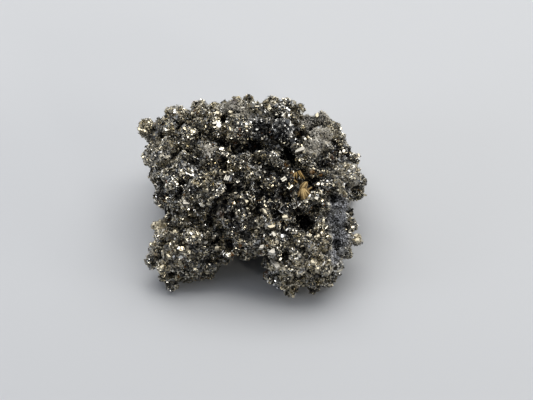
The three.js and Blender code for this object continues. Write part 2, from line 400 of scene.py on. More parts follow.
# Each zone: its middle pixel, its radius in millimetres, and what it changes.
ZONES = [
    # Broad regions: painted light on the feet, the left shoulder, the crest and the right top, partly fresh
    # crystals, and painted shade in the hollows between them, partly tarnish.
    (165, 252, 8.5, FRESH_AND_LIT_CRUST),
    (316, 261, 8.5, FRESH_AND_LIT_CRUST),
    (164, 153, 8.5, FRESH_AND_LIT_CRUST),
    (208, 115, 7.0, FRESH_AND_LIT_CRUST),
    (236, 113, 7.0, FRESH_AND_LIT_CRUST),
    (316, 128, 5.0, FRESH_AND_LIT_CRUST),
    (254, 128, 6.0, TARNISHED_AND_SHADED_CRUST),
    (284, 183, 7.0, TARNISHED_AND_SHADED_CRUST),
    (253, 195, 6.0, TARNISHED_AND_SHADED_CRUST),
    # The worn patch at the right edge, and powdery or lighter nodules at the top and the right.
    (338, 204, 4.2, WORN),
    (340, 220, 5.0, WORN),
    (339, 238, 4.6, WORN),
    (334, 255, 3.6, WORN),
    (229, 110, 4.2, POWDERY),
    (243, 114, 4.0, POWDERY),
    (308, 118, 2.4, POWDERY),
    (313, 148, 3.4, POWDERY),
    (321, 138, 5.0, POWDERY),
    (312, 126, 5.0, {"dust": 0.85, "shade": 1.2, "warmth": 0.4, "size": 0.75}),
    (208, 150, 2.4, POWDERY),
    (326, 118, 2.6, POWDERY),
    (350, 180, 6.0, {"dust": 0.45, "shade": 1.0, "tarnish": 0.3}),
    (338, 168, 4.0, LIGHTER),
    (333, 128, 4.0, {"dust": 0.2, "shade": 0.8, "warmth": 0.6}),
    (324, 196, 2.4, POWDERY),
    # Pale knobs at the tips, and painted light on the outer sides of both feet and the shoulder, partly
    # frosted crystals.
    (146, 126, 3.0, PALE_KNOB),
    (159, 226, 3.0, PALE_KNOB),
    (164, 251, 6.0, {"shade": 1.2, "tarnish": 0.15, "frosted": 0.5, "turned": 0.4}),
    (357, 238, 1.6, PALE_KNOB),
    (298, 270, 9.0, {"shade": 1.1, "tarnish": 0.35, "frosted": 0.3}),
    (308, 262, 9.0, {"shade": 1.0, "tarnish": 0.4, "frosted": 0.4, "turned": 0.4, "relief": 1.2}),
    (272, 250, 6.0, {"shade": 1.0, "frosted": 0.25, "turned": 0.25}),
    (174, 244, 9.0, COARSE_FOOT),
    (165, 150, 9.0, LIGHTER),
    (154, 157, 6.0, {"dust": 0.2, "shade": 1.0}),
    (150, 130, 5.0, {"dust": 0.3, "shade": 1.0}),
    (157, 187, 5.0, {"dust": 0.15, "shade": 1.0}),
    # The crest: painted light along its top, partly frosted crystals, and bluish on its right half.
    (170, 114, 5.0, {"shade": 1.2, "tarnish": 0.2, "frosted": 0.3}),
    (200, 112, 5.0, {"shade": 0.95}),
    (220, 112, 7.0, FROSTED_AND_LIT_TOP),
    (266, 107, 4.0, {"shade": 0.9, "tarnish": 0.3}),
    (260, 110, 6.0, FROSTED_AND_LIT_TOP),
    (255, 127, 5.0, BLUISH_CRUST),
    (284, 128, 6.0, BLUISH_CRUST),
    (226, 127, 6.0, FROSTED_AND_LIT_TOP),
    # Lighter nodules left of the middle.
    (210, 196, 5.0, LIGHTER),
    (190, 182, 4.5, {"shade": 0.75}),
    (190, 226, 7.0, {"shade": 1.0, "tarnish": 0.3, "frosted": 0.2, "turned": 0.1}),
    # Spots of ochre and brown rust.
    (167, 201, 1.6, OCHRE),
    (315, 222, 1.2, OCHRE),
    (312, 172, 0.9, OCHRE),
    (317, 190, 0.7, OCHRE),
    (334, 152, 0.7, OCHRE),
    (286, 167, 0.7, OCHRE),
    (279, 258, 0.8, OCHRE),
    (332, 158, 0.7, BROWN),
    (222, 214, 1.0, BROWN),
    (235, 102, 0.9, BROWN),
    (267, 272, 0.9, BROWN),
    # Painted shade in the hollows, partly tarnished crystals, and painted light on the nodules between them.
    (250, 137, 3.0, SHADED_HOLLOW),
    (262, 171, 4.5, SHADED_HOLLOW),
    (282, 178, 5.0, {"shade": 0.3, "tarnish": 0.6}),
    (198, 168, 4.0, DARKER),
    (181, 160, 3.0, DARKER),
    (236, 197, 6.0, SHADED_HOLLOW),
    (260, 216, 6.0, {"shade": 0.75, "turned": 0.1}),
    (197, 207, 6.0, {"shade": 0.8, "turned": 0.1}),
    (288, 222, 5.0, SHADED_HOLLOW),
    (285, 150, 5.0, SHADED_HOLLOW),
    (268, 200, 5.0, SHADED_HOLLOW),
    (288, 170, 4.0, SHADED_HOLLOW),
    (207, 230, 6.0, {"shade": 1.1, "tarnish": 0.25, "frosted": 0.2, "turned": 0.2}),
    (244, 176, 5.0, {"shade": 0.8, "frosted": 0.15}),
    (257, 150, 6.0, SHADED_HOLLOW),
    (269, 149, 3.5, SHADED_GAP),
    (278, 210, 4.0, SHADED_GAP),
    (349, 209, 4.0, SHADED_GAP),
]
# The shade of a zone that leaves the crust's shade as it is.
NO_CHANGE_SHADE = 0.5
# A zone holds in full out to this share of its radius, and fades over the rest.
ZONE_CORE = 0.45


def zone_shares(surface, places):
    """How strongly each zone holds at each place, from 0 past its rim to 1, and what it changes."""
    for u, v, radius, change in ZONES:
        hit = seen_at(surface, u, v)
        if hit is None:
            print("no surface for the zone at", u, v)
            continue
        away = np.linalg.norm(places - np.array(hit[0]), axis=1) / (radius * MM)
        yield 1 - step_up(away, ZONE_CORE, 1.0), change


# The crystals

# Faces that meet at less than this are one flat face.
FLAT_ANGLE = math.radians(1)


def hull_shape(corners):
    """The corners and faces of the convex body around some corners, with each flat face in one piece."""
    body = bmesh.new()
    for corner in corners:
        body.verts.new(corner)
    bmesh.ops.convex_hull(body, input=body.verts)
    bmesh.ops.dissolve_limit(body, angle_limit=FLAT_ANGLE, verts=body.verts, edges=body.edges)
    body.verts.index_update()
    points = np.array([v.co[:] for v in body.verts])
    faces = [[v.index for v in face.verts] for face in body.faces]
    body.free()
    return points, faces


def rooted(outline, top, root):
    """A flat-topped crystal that narrows to its root in the crust."""
    return [(x, y, top) for x, y in outline] + [(0, 0, -root)]


def box_corners(x, y, z):
    return [(i * x, j * y, k * z) for i in (-1, 1) for j in (-1, 1) for k in (-1, 1)]


def ridge_corners(length, width, height):
    """A blade that stands on its edge, with a sharp, shorter crest."""
    foot = [(i * length, j * width, -height) for i in (-1, 1) for j in (-1, 1)]
    return foot + [(i * length * 0.8, 0, height) for i in (-1, 1)]


def corner_of_cube():
    """A cube's corner that stands out of the crust, with three faces that meet almost squarely."""
    foot = [(math.cos(turn), math.sin(turn), -0.35) for turn in np.radians((90, 210, 330))]
    return foot + [(0, 0, 0.45)]


def pyritohedron_corners(roof=0.35):
    """A cube with a low roof on each face, the twelve-faced crystal that is named after the mineral."""
    half = 0.78
    corners = box_corners(half, half, half)
    ridge = half * (1 + roof)
    end = half * (1 - roof**2)
    for i in (-1, 1):
        for j in (-1, 1):
            corners += [(0, i * end, j * ridge), (i * end, j * ridge, 0), (i * ridge, 0, j * end)]
    return corners


# Each kind of crystal: its corners for a half size of 1, its share, and whether it stands on edge.
CRYSTAL_KINDS = [
    # A stubby cube, a plate with four corners, and one with three.
    (rooted([(0.85, 0.8), (-0.85, 0.8), (-0.85, -0.8), (0.85, -0.8)], 0.75, 1.6), 0.2, False),
    (rooted([(1.4, 0), (0.2, 0.75), (-0.85, 0.15), (-0.1, -0.8)], 0.3, 0.9), 0.17, False),
    (rooted([(1.1, -0.5), (0.5, 0.8), (-1.0, 0.3)], 0.35, 0.8), 0.13, False),
    # A bar, and a blade on edge.
    (rooted([(1.5, 0.28), (-1.5, 0.28), (-1.5, -0.28), (1.5, -0.28)], 0.75, 1.3), 0.12, True),
    (ridge_corners(1.7, 0.42, 0.75), 0.15, True),
    # A cube's corner, a pyramid, and the twelve-faced crystal.
    (corner_of_cube(), 0.13, False),
    ([(0.9, 0, -0.3), (-0.9, 0, -0.3), (0, 0.9, -0.3), (0, -0.9, -0.3), (0, 0, 0.85)], 0.08, False),
    (pyritohedron_corners(), 0.02, False),
]
# Crystals are tried at this many places, and about two thirds of them grow.
CRYSTAL_COUNT = 180000
CRYSTAL_HALF = 0.27 * MM
# None grows lower than this over the table, and each stands out by up to the lift.
LOWEST_CRYSTAL = 0.6 * MM
CRYSTAL_LIFT = 0.3 * MM

# Between these heights over the broad form the crust goes from sparse and dark, with painted shade in the
# gaps, to full and light, with painted light on the tops. In a gap this share of the crystals is missing.
GAP_HEIGHT = -0.7 * MM
TOP_HEIGHT = 0.55 * MM
GAP_LOSS = 0.5

# Sizes beside the usual one: how much buds and crystals vary, what a crown adds, and how uneven sides are.
BUD_SIZE_SPREAD = 0.2
SIZE_SPREAD = 0.36
SIZE_SHIFT = -0.05
FOOT_SIZE = 0.85
CROWN_SIZE = 0.25
SMALLEST = 0.4
LARGEST = 1.9
SIDES = (0.8, 1.25)

# Shade: its value in a gap, the painted light that open ground and a crown add, so that gaps get painted
# shade, and how much crystals and buds vary.
SHADE = 0.57
OPEN_GROUND_PAINTED_LIGHT = 0.5
CROWN_PAINTED_LIGHT = 0.15
SHADE_SPREAD = 0.22
BUD_SHADE_SPREAD = 0.08
# Warmth: light crystals are warmer.
WARMTH = 0.18
WARMTH_OF_SHADE = 0.3
WARMTH_SPREAD = 0.3
BUD_WARMTH_SPREAD = 0.15
RUSTY_SHARE = 0.012
DUST_SPREAD = 0.1
# This share of the crystals is tarnished, and darker by this much shade.
TARNISHED_SHARE = 0.42
TARNISH = 0.8
# This share is frosted over instead: dusty, lighter and warmer.
FROSTED_SHARE = 0.08
FROST = 0.6
FROST_SHADE = 0.3
FROST_WARMTH = 0.25

# How far the crystals of a bud lean away from its own axis, and from each other, in radians.
BUD_TWIST = 0.5
CRYSTAL_JITTER = 0.16
STRAY_SHARE = 0.22
STRAY_TWIST = 1.5
# Blades circle round the middle of their bud on this share of the buds, leaning out, and lie side by side on
# the rest.
ROSETTE_SHARE = 0.55
ROSETTE_LEAN = 0.35
# How far the crystals that are turned to the light are off it, in radians.
TURNED_SPREAD = 0.28

# Each piece of the crust has the crystals that are nearest to its place, in millimetres.
CRUST_PARTS = {
    "crust_left_shoulder": (-20, 7, 24),
    "crust_crest": (3, 15, 25),
    "crust_middle": (0, -7, 22),
    "crust_right": (23, 5, 18),
    "crust_right_foot": (16, -19, 9),
    "crust_left_foot": (-17, -16, 8),
    "crust_back_left": (-16, 19, 8),
    "crust_back_right": (12, 23, 8),
}


def turns_from(directions, wander):
    """A random turn for each direction, whose own upright axis wanders from that direction."""
    upright = unit(directions + wander * random.normal(size=directions.shape))
    side = unit(np.cross(random.normal(size=directions.shape), upright))
    return np.stack([side, np.cross(upright, side), upright], axis=2)


def small_turns(count, spread):
    """A small random turn about a random axis, as a matrix, for each of a count."""
    x, y, z = (random.normal(size=(count, 3)) * spread).T
    zero = np.zeros(count)
    skew = np.stack([zero, -z, y, z, zero, -x, -y, x, zero], axis=1).reshape(-1, 3, 3)
    angle = np.sqrt(x * x + y * y + z * z)[:, None, None] + 1e-9
    return np.eye(3) + np.sin(angle) / angle * skew + (1 - np.cos(angle)) / angle**2 * (skew @ skew)


def joined_mesh(name, parts, attributes):
    """One mesh from parts, each the points of every copy and the faces of one, and point attributes."""
    points, starts, totals, corners = [], [], [], []
    first_point = 0
    first_corner = 0
    for copies, faces in parts:
        count, size = copies.shape[:2]
        flat = np.concatenate([np.array(face) for face in faces])
        lengths = np.array([len(face) for face in faces])
        own_starts = np.concatenate([[0], np.cumsum(lengths)[:-1]])
        steps = np.arange(count)[:, None]
        corners.append((flat[None, :] + first_point + steps * size).ravel())
        starts.append((own_starts[None, :] + first_corner + steps * len(flat)).ravel())
        totals.append(np.tile(lengths, count))
        points.append(copies.reshape(-1, 3))
        first_point += count * size
        first_corner += count * len(flat)
    points = np.concatenate(points)
    # Nothing reaches into the table.
    points[:, 2] = np.maximum(points[:, 2], 0)
    corners = np.concatenate(corners)
    starts = np.concatenate(starts)
    mesh = bpy.data.meshes.new(name)
    mesh.vertices.add(len(points))
    mesh.vertices.foreach_set("co", points.ravel())
    mesh.loops.add(len(corners))
    mesh.loops.foreach_set("vertex_index", corners.astype(np.int32))
    mesh.polygons.add(len(starts))
    mesh.polygons.foreach_set("loop_start", starts.astype(np.int32))
    mesh.polygons.foreach_set("loop_total", np.concatenate(totals).astype(np.int32))
    mesh.update(calc_edges=True)
    mesh.shade_flat()
    for title, values in attributes.items():
        layer = mesh.attributes.new(title, "FLOAT_COLOR", "POINT")
        layer.data.foreach_set("color", values.astype(np.float32).ravel())
    return mesh


def crystal_attributes(tones, own):
    """The tone of each copy at each corner, and the corners' places in millimetres before any turn."""
    size = own.shape[1]
    grain = np.concatenate([own / MM, np.ones(own.shape[:2] + (1,))], axis=2)
    return {"tone": np.repeat(tones, size, axis=0), "grain": grain.reshape(-1, 4)}


def joined_attributes(attributes):
    return {title: np.concatenate([a[title] for a in attributes]) for title in attributes[0]}


def crystal_turns(directions, outward_from_bud, bud, standing):
    """The turn of each crystal: like its neighbours on the bud, round the bud's middle, or stray."""
    count = len(bud)
    buds = bud.max() + 1
    first = np.zeros((buds, 3))
    first[bud] = directions
    turns = turns_from(first, BUD_TWIST)[bud]
    circling = (random.random(buds) < ROSETTE_SHARE)[bud] & standing
    upright = unit(directions + ROSETTE_LEAN * unit(outward_from_bud))
    side = unit(np.cross(upright, outward_from_bud))
    rosette = np.stack([side, np.cross(upright, side), upright], axis=2)
    turns[circling] = rosette[circling]
    turns = turns @ small_turns(count, CRYSTAL_JITTER)
    strays = random.random(count) < STRAY_SHARE
    turns[strays] = turns_from(directions[strays], STRAY_TWIST)
    return turns


def towards_light(places, directions):
    """The way half between camera and window, or camera and front lamp where a direction is nearer to it."""
    to_camera = unit(np.array(CAMERA_PLACE) - places)
    window = unit(unit(np.array(WINDOW_PLACE) - places) + to_camera)
    lamp = unit(unit(np.array(FRONT_LAMP_PLACE) - places) + to_camera)
    nearer_lamp = np.sum((lamp - window) * directions, axis=1) > 0
    return np.where(nearer_lamp[:, None], lamp, window)


def grown_crystals(mass, form):
    """Where crystals grow on the mass.

    It gives their places and outward directions, how open the ground is, the bud of each, and how near it is
    to that bud's crown."""
    points, normals = mesh_arrays(mass.data)
    corners, weights = scatter(points, triangle_arrays(mass.data), CRYSTAL_COUNT)
    places = blend(points, corners, weights)
    open_ground = step_up(blend(form["height"], corners, weights), GAP_HEIGHT, TOP_HEIGHT)
    cover = 1 - GAP_LOSS * (1 - open_ground)
    for share, change in zone_shares(surface_of(mass), places):
        cover *= 1 - share * (1 - change.get("cover", 1))
    kept = (places[:, 2] > LOWEST_CRYSTAL) & (random.random(CRYSTAL_COUNT) < cover)
    corners, weights = corners[kept], weights[kept]
    directions = unit(blend(normals, corners, weights))
    crown = blend(form["crown"], corners, weights)
    return places[kept], directions, open_ground[kept], form["bud"][corners[:, 0]], crown


def usual_values(open_ground, crown, bud_tones):
    """The size and tone of each crystal, and its chances to be tarnished, frosted or turned."""
    count = len(crown)
    size = np.exp(BUD_SIZE_SPREAD * bud_tones[:, 0] + random.normal(SIZE_SHIFT, SIZE_SPREAD, count))
    size = np.clip(size * (FOOT_SIZE + CROWN_SIZE * crown), SMALLEST, LARGEST)
    # Painted shade and painted light: crystals in gaps are darker, those on open ground and bud crowns
    # lighter.
    shade = SHADE + OPEN_GROUND_PAINTED_LIGHT * open_ground + CROWN_PAINTED_LIGHT * crown
    shade = shade + SHADE_SPREAD * random.normal(size=count) + BUD_SHADE_SPREAD * bud_tones[:, 1]
    warmth = WARMTH + WARMTH_OF_SHADE * shade
    warmth = warmth + WARMTH_SPREAD * random.normal(size=count) + BUD_WARMTH_SPREAD * bud_tones[:, 2]
    return {
        "shade": shade,
        "warmth": warmth,
        "rust": (random.random(count) < RUSTY_SHARE).astype(float),
        "dust": np.clip(DUST_SPREAD * random.normal(size=count), 0, 1),
        "size": size,
        "tarnish": np.full(count, TARNISHED_SHARE),
        "frosted": np.full(count, FROSTED_SHARE),
        "turned": np.zeros(count),
    }


def change_in_zones(values, surface, places):
    """Move the values of the crystals in each zone towards that zone's."""
    for share, change in zone_shares(surface, places):
        for name, goal in change.items():
            if name == "size":
                values[name] *= 1 + share * (goal - 1)
            elif name == "shade":
                values[name] += share * (goal - NO_CHANGE_SHADE)
            elif name in values:
                values[name] += share * (goal - values[name])


def weathered_tones(values):
    """The shade, warmth, rust and dust of each crystal, once some are frosted over and others tarnished."""
    count = len(values["shade"])
    frosted = random.random(count) < values["frosted"]
    tarnished = (random.random(count) < values["tarnish"]) & ~frosted
    dust = np.where(frosted, np.maximum(values["dust"], FROST), values["dust"])
    shade = np.clip(values["shade"] + FROST_SHADE * frosted, 0, 1) - TARNISH * tarnished * (1 - dust)
    warmth = values["warmth"] + FROST_WARMTH * frosted
    return np.clip(np.stack([shade, warmth, values["rust"], dust], axis=1), 0, 1)


def crust_pieces(places, turns, sides, kind, tones):
    """The crystals as joined meshes, one for each part of the crust."""
    centres = np.array(list(CRUST_PARTS.values())) * MM
    part = np.argmin(np.linalg.norm(places[:, None, :] - centres[None], axis=2), axis=1)
    shapes = [hull_shape(corners) for corners, _, _ in CRYSTAL_KINDS]
    pieces = []
    for index, name in enumerate(CRUST_PARTS):
        parts, attributes = [], []
        for k, (shape, faces) in enumerate(shapes):
            chosen = np.flatnonzero((part == index) & (kind == k))
            own = shape[None] * sides[chosen, None, :]
            parts.append((np.einsum("nij,nkj->nki", turns[chosen], own) + places[chosen, None, :], faces))
            attributes.append(crystal_attributes(tones[chosen], own))
        pieces.append(new_piece(name, joined_mesh(name, parts, joined_attributes(attributes))))
    return pieces


def make_crust(mass, form):
    """The crust of small crystals over the whole mass."""
    places, directions, open_ground, bud, crown = grown_crystals(mass, form)
    count = len(places)
    shares = np.array([share for _, share, _ in CRYSTAL_KINDS])
    kind = random.choice(len(CRYSTAL_KINDS), count, p=shares / shares.sum())
    standing = np.array([stands for _, _, stands in CRYSTAL_KINDS])[kind]
    bud_tones = random.normal(size=(len(form["bud_places"]), 3))[bud]
    values = usual_values(open_ground, crown, bud_tones)
    change_in_zones(values, surface_of(mass), places)
    tones = weathered_tones(values)
    turns = crystal_turns(directions, places - form["bud_places"][bud], bud, standing)
    turned = random.random(count) < values["turned"]
    turns[turned] = turns_from(towards_light(places[turned], directions[turned]), TURNED_SPREAD)
    sides = random.uniform(*SIDES, (count, 3)) * (CRYSTAL_HALF * values["size"])[:, None]
    places = places + directions * random.uniform(0.0, CRYSTAL_LIFT, (count, 1))
    return crust_pieces(places, turns, sides, kind, tones)


# The large crystals

# Tones, each of shade, warmth, rust and dust.
FRESH = (0.42, 0.45, 0.0, 0.0)
CREAM = (0.45, 0.95, 0.0, 0.1)
ORANGE = (0.5, 1.0, 0.35, 0.2)
BEIGE = (0.9, 1.0, 0.0, 0.65)
GREY = (0.9, 0.5, 0.0, 0.65)
# Single crystals that stand out: pixel, length and width in millimetres, how far they are turned in the
# picture in degrees, how many bars they are split into, and their tone.
LARGE_CRYSTALS = [
    (217, 114, 1.5, 1.2, 20, 1, CREAM),
    (172, 125, 1.3, 1.0, -15, 1, CREAM),
    (215, 124, 1.6, 1.3, 35, 1, FRESH),
    (187, 203, 1.7, 1.3, -8, 2, FRESH),
    (187, 220, 2.0, 1.3, 15, 1, CREAM),
    (162, 236, 1.3, 1.1, 25, 1, FRESH),
    (193, 237, 1.4, 1.0, -30, 1, CREAM),
    (156, 254, 1.6, 1.2, 30, 1, ORANGE),
    (162, 267, 1.6, 1.6, 10, 1, BEIGE),
    (300, 150, 3.2, 1.2, 25, 1, GREY),
    (316, 199, 1.6, 1.5, 40, 1, FRESH),
    (317, 116, 1.2, 1.9, 5, 1, CREAM),
    (246, 202, 1.6, 1.3, -20, 1, CREAM),
    (272, 227, 2.6, 1.1, 8, 1, CREAM),
    (274, 235, 1.2, 2.1, 10, 1, FRESH),
    (232, 240, 1.1, 0.6, 0, 1, FRESH),
    (285, 217, 2.0, 1.4, -25, 1, BEIGE),
    (265, 212, 2.4, 1.0, -60, 1, BEIGE),
    (275, 264, 3.2, 1.1, -55, 3, GREY),
    (272, 252, 2.2, 1.6, 60, 1, GREY),
    (284, 180, 1.4, 1.3, 30, 2, FRESH),
    (227, 179, 1.7, 1.4, 75, 3, FRESH),
    (356, 236, 1.5, 1.1, 35, 1, BEIGE),
    (357, 240, 1.9, 1.3, 10, 1, BEIGE),
    (312, 193, 1.2, 0.9, 50, 1, FRESH),
    (206, 243, 1.2, 1.0, 0, 1, FRESH),
    (217, 248, 1.3, 1.0, 30, 1, BEIGE),
    (257, 231, 1.3, 1.1, -10, 1, CREAM),
    (262, 247, 1.6, 1.2, 15, 1, GREY),
    (302, 246, 1.3, 1.0, 40, 1, CREAM),
    (180, 262, 1.4, 1.0, -20, 1, CREAM),
    (206, 190, 1.4, 0.9, -35, 1, CREAM),
    (174, 251, 1.8, 0.9, -20, 1, CREAM),
    (168, 256, 1.5, 1.0, -30, 1, CREAM),
    (177, 246, 1.2, 0.8, 20, 1, BEIGE),
    (165, 247, 1.3, 0.9, 40, 1, BEIGE),
    (184, 243, 1.2, 0.8, 0, 1, CREAM),
    (176, 228, 1.3, 0.9, 15, 1, CREAM),
    (313, 262, 1.5, 1.0, -40, 1, BEIGE),
    (318, 269, 1.3, 0.9, 30, 1, CREAM),
    (307, 255, 1.2, 0.9, 10, 1, CREAM),
    (298, 263, 1.1, 0.9, 0, 1, BEIGE),
    (325, 250, 1.3, 1.0, 20, 1, BEIGE),
    (329, 261, 1.1, 0.8, -20, 1, CREAM),
    (292, 277, 1.0, 0.8, 15, 1, BEIGE),
    (193, 114, 1.2, 0.9, 10, 1, BEIGE),
    (230, 113, 1.6, 1.1, -10, 1, BEIGE),
]
# Half their depth, and about how far they stand out towards the camera.
LARGE_DEPTH = 0.55 * MM
LARGE_STANDS_OUT = 1.1 * MM
# Bars side by side leave this share of their spacing free.
BAR_GAP_SHARE = 0.3
# How far their faces are off the way that mirrors the window, in radians.
GLINT_JITTER = 0.1
# A plate has four or five corners, off an even spacing by up to this share of it, and this far out beside a
# half size of 1. It is wider at its foot.
PLATE_CORNERS = (4, 5)
PLATE_UNEVENNESS = 0.35
PLATE_REACH = (0.65, 1.2)
PLATE_FOOT = 1.15

# More of them over all sides, by chance.
SCATTERED_LARGE = 80
SCATTERED_HALF = 0.38 * MM
SCATTERED_SIDES = (0.6, 1.3)
SCATTERED_LIFT = 0.6
SCATTERED_TWIST = 0.6
SCATTERED_TONE = (0.5, 0.5, 0.0, 0.1)
SCATTERED_TONE_SPREAD = (0.2, 0.3, 0.0, 0.1)


def shape_of(piece):
    """The corners and faces of a modelled piece, which is then put away."""
    points, _ = mesh_arrays(piece.data)
    faces = [list(face.vertices) for face in piece.data.polygons]
    bpy.data.objects.remove(piece)
    return points, faces


def stepped_crystal():
    """A cube with a raised growth step on each face and fine worn edges, for a half size of 1."""
    deselect_all()
    bpy.ops.mesh.primitive_cube_add(size=1.9)
    piece = bpy.context.object
    bpy.ops.object.mode_set(mode="EDIT")
    bpy.ops.mesh.select_all(action="SELECT")
    bpy.ops.mesh.inset(thickness=0.2, depth=0.07, use_individual=True)
    bpy.ops.object.mode_set(mode="OBJECT")
    apply_modifier(piece, "BEVEL", width=0.06, segments=1)
    return shape_of(piece)


def glint_turn(place, degrees):
    """The turn of a crystal whose top face sends the window's light to the camera."""
    up = ((WINDOW_PLACE - place).normalized() + (CAMERA_PLACE - place).normalized()).normalized()
    angle = math.radians(degrees)
    side = CAMERA_RIGHT * math.cos(angle) + CAMERA_UP * math.sin(angle)
    side = (side - up * side.dot(up)).normalized()
    return np.stack([side, up.cross(side), up], axis=1)


def irregular_plate():
    """A thick plate with uneven corners, for a half size of 1."""
    corners = random.integers(PLATE_CORNERS[0], PLATE_CORNERS[1] + 1)
    offsets = random.uniform(-PLATE_UNEVENNESS, PLATE_UNEVENNESS, corners)
    angles = 2 * math.pi * (np.arange(corners) + offsets) / corners
    reach = random.uniform(*PLATE_REACH, corners)
    outline = np.stack([np.cos(angles) * reach, np.sin(angles) * reach], axis=1)
    top = [(x, y, 1.0) for x, y in outline]
    foot = [(PLATE_FOOT * x, PLATE_FOOT * y, -1.0) for x, y in outline]
    return hull_shape(top + foot)


def placed_crystals(surface):
    """The large crystals that stand out, each with its own outline, and their attributes."""
    parts, attributes = [], []
    for u, v, length, width, degrees, bars, tone in LARGE_CRYSTALS:
        hit = seen_at(surface, u, v)
        if hit is None:
            print("no surface for the crystal at", u, v)
            continue
        turn = glint_turn(hit[0], degrees) @ small_turns(1, GLINT_JITTER)[0]
        pitch = width * MM / bars
        middle = np.array(hit[0] + TO_CAMERA * (LARGE_STANDS_OUT - LARGE_DEPTH / 2))
        for bar in range(bars):
            if bars == 1:
                shape, faces = irregular_plate()
                thickness = pitch
            else:
                shape, faces = hull_shape(box_corners(1, 1, 1))
                thickness = pitch * (1 - BAR_GAP_SHARE)
            own = shape * (length * MM / 2, thickness / 2, LARGE_DEPTH)
            place = middle + turn[:, 1] * (bar - (bars - 1) / 2) * pitch
            parts.append(((own @ turn.T + place)[None], faces))
            attributes.append(crystal_attributes(np.array([tone]), own[None]))
    return parts, attributes


def scattered_crystals(mass):
    """Large stepped crystals over all sides, as one part with its attributes."""
    points, normals = mesh_arrays(mass.data)
    corners, weights = scatter(points, triangle_arrays(mass.data), SCATTERED_LARGE)
    places = blend(points, corners, weights)
    clear = places[:, 2] > 2 * LOWEST_CRYSTAL
    directions = unit(blend(normals, corners, weights))[clear]
    places = places[clear] + directions * SCATTERED_HALF * SCATTERED_LIFT
    count = len(places)
    tones = np.clip(random.normal(SCATTERED_TONE, SCATTERED_TONE_SPREAD, (count, 4)), 0, 1)
    shape, faces = stepped_crystal()
    own = shape[None] * (SCATTERED_HALF * random.uniform(*SCATTERED_SIDES, (count, 3)))[:, None, :]
    turned = np.einsum("nij,nkj->nki", turns_from(directions, SCATTERED_TWIST), own)
    return (turned + places[:, None, :], faces), crystal_attributes(tones, own)


def make_large_crystals(mass):
    parts, attributes = placed_crystals(surface_of(mass))
    scattered, their_attributes = scattered_crystals(mass)
    parts.append(scattered)
    attributes.append(their_attributes)
    return new_piece("large_crystals", joined_mesh("large_crystals", parts, joined_attributes(attributes)))


# The tan blades

# Two fans, each with its middle pixel and how far it stands out in millimetres, and their blades, each with
# the pixels of foot and tip, the width in millimetres, how far it is rolled edge-on in degrees, and its
# lightness.
UPPER_FAN = (298, 176, 1.7)
LOWER_FAN = (303, 192, 1.1)
TAN_BLADES = [
    (UPPER_FAN, (299.5, 170.5), (304.8, 179.0), 0.7, 10, 0.35),
    (UPPER_FAN, (297.8, 171.0), (301.6, 179.0), 0.6, -5, 0.15),
    (UPPER_FAN, (296.0, 172.0), (296.2, 178.5), 0.6, -10, 0.35),
    (UPPER_FAN, (295.0, 172.5), (291.5, 179.0), 0.75, -20, 0.45),
    (UPPER_FAN, (293.5, 174.5), (292.5, 181.5), 0.6, -30, 0.2),
    (UPPER_FAN, (291.5, 178.0), (297.5, 182.5), 0.75, 10, 0.4),
    (LOWER_FAN, (301.0, 191.0), (307.2, 182.0), 1.9, -10, 0.7),
    (LOWER_FAN, (304.5, 191.0), (312.0, 187.0), 0.7, 10, 0.5),
    (LOWER_FAN, (300.5, 189.5), (297.0, 196.8), 1.1, -25, 0.75),
    (LOWER_FAN, (304.5, 188.0), (311.4, 195.5), 1.5, 20, 1.0),
    (LOWER_FAN, (303.5, 188.0), (309.0, 200.0), 1.3, 15, 0.65),
    (LOWER_FAN, (300.8, 189.0), (301.4, 200.5), 1.1, -25, 0.95),
    (LOWER_FAN, (302.5, 188.5), (305.2, 204.0), 1.2, 5, 0.85),
]
BLADE_COLUMNS = 14
BLADE_ROWS = 10
BLADE_THICKNESS = 0.25 * MM
# How far a blade is arched across, beside its width, and curled along, beside its length.
BLADE_ARCH = 0.25
BLADE_CURL = 0.15
BLADE_RIDGES = 2
BLADE_RIDGE_HEIGHT = 0.2 * MM
# Every next blade of the list lies this much over the last one.
BLADE_STEP = 0.08 * MM


def over_the_surface(anchor, u, v):
    """The place at a pixel, on the plane through an anchor that faces the camera."""
    ray = ray_through(u, v)
    return CAMERA_PLACE + ray * ((anchor - CAMERA_PLACE).dot(TO_CAMERA) / ray.dot(TO_CAMERA))


def blade_spread(up):
    """How wide a blade is beside its full width, from 0 at its foot to 1 at its rounded tip."""
    return (0.5 + 0.5 * np.sin(math.pi * (0.1 + 0.8 * up))) * np.sqrt(1 - 0.9 * up**4)


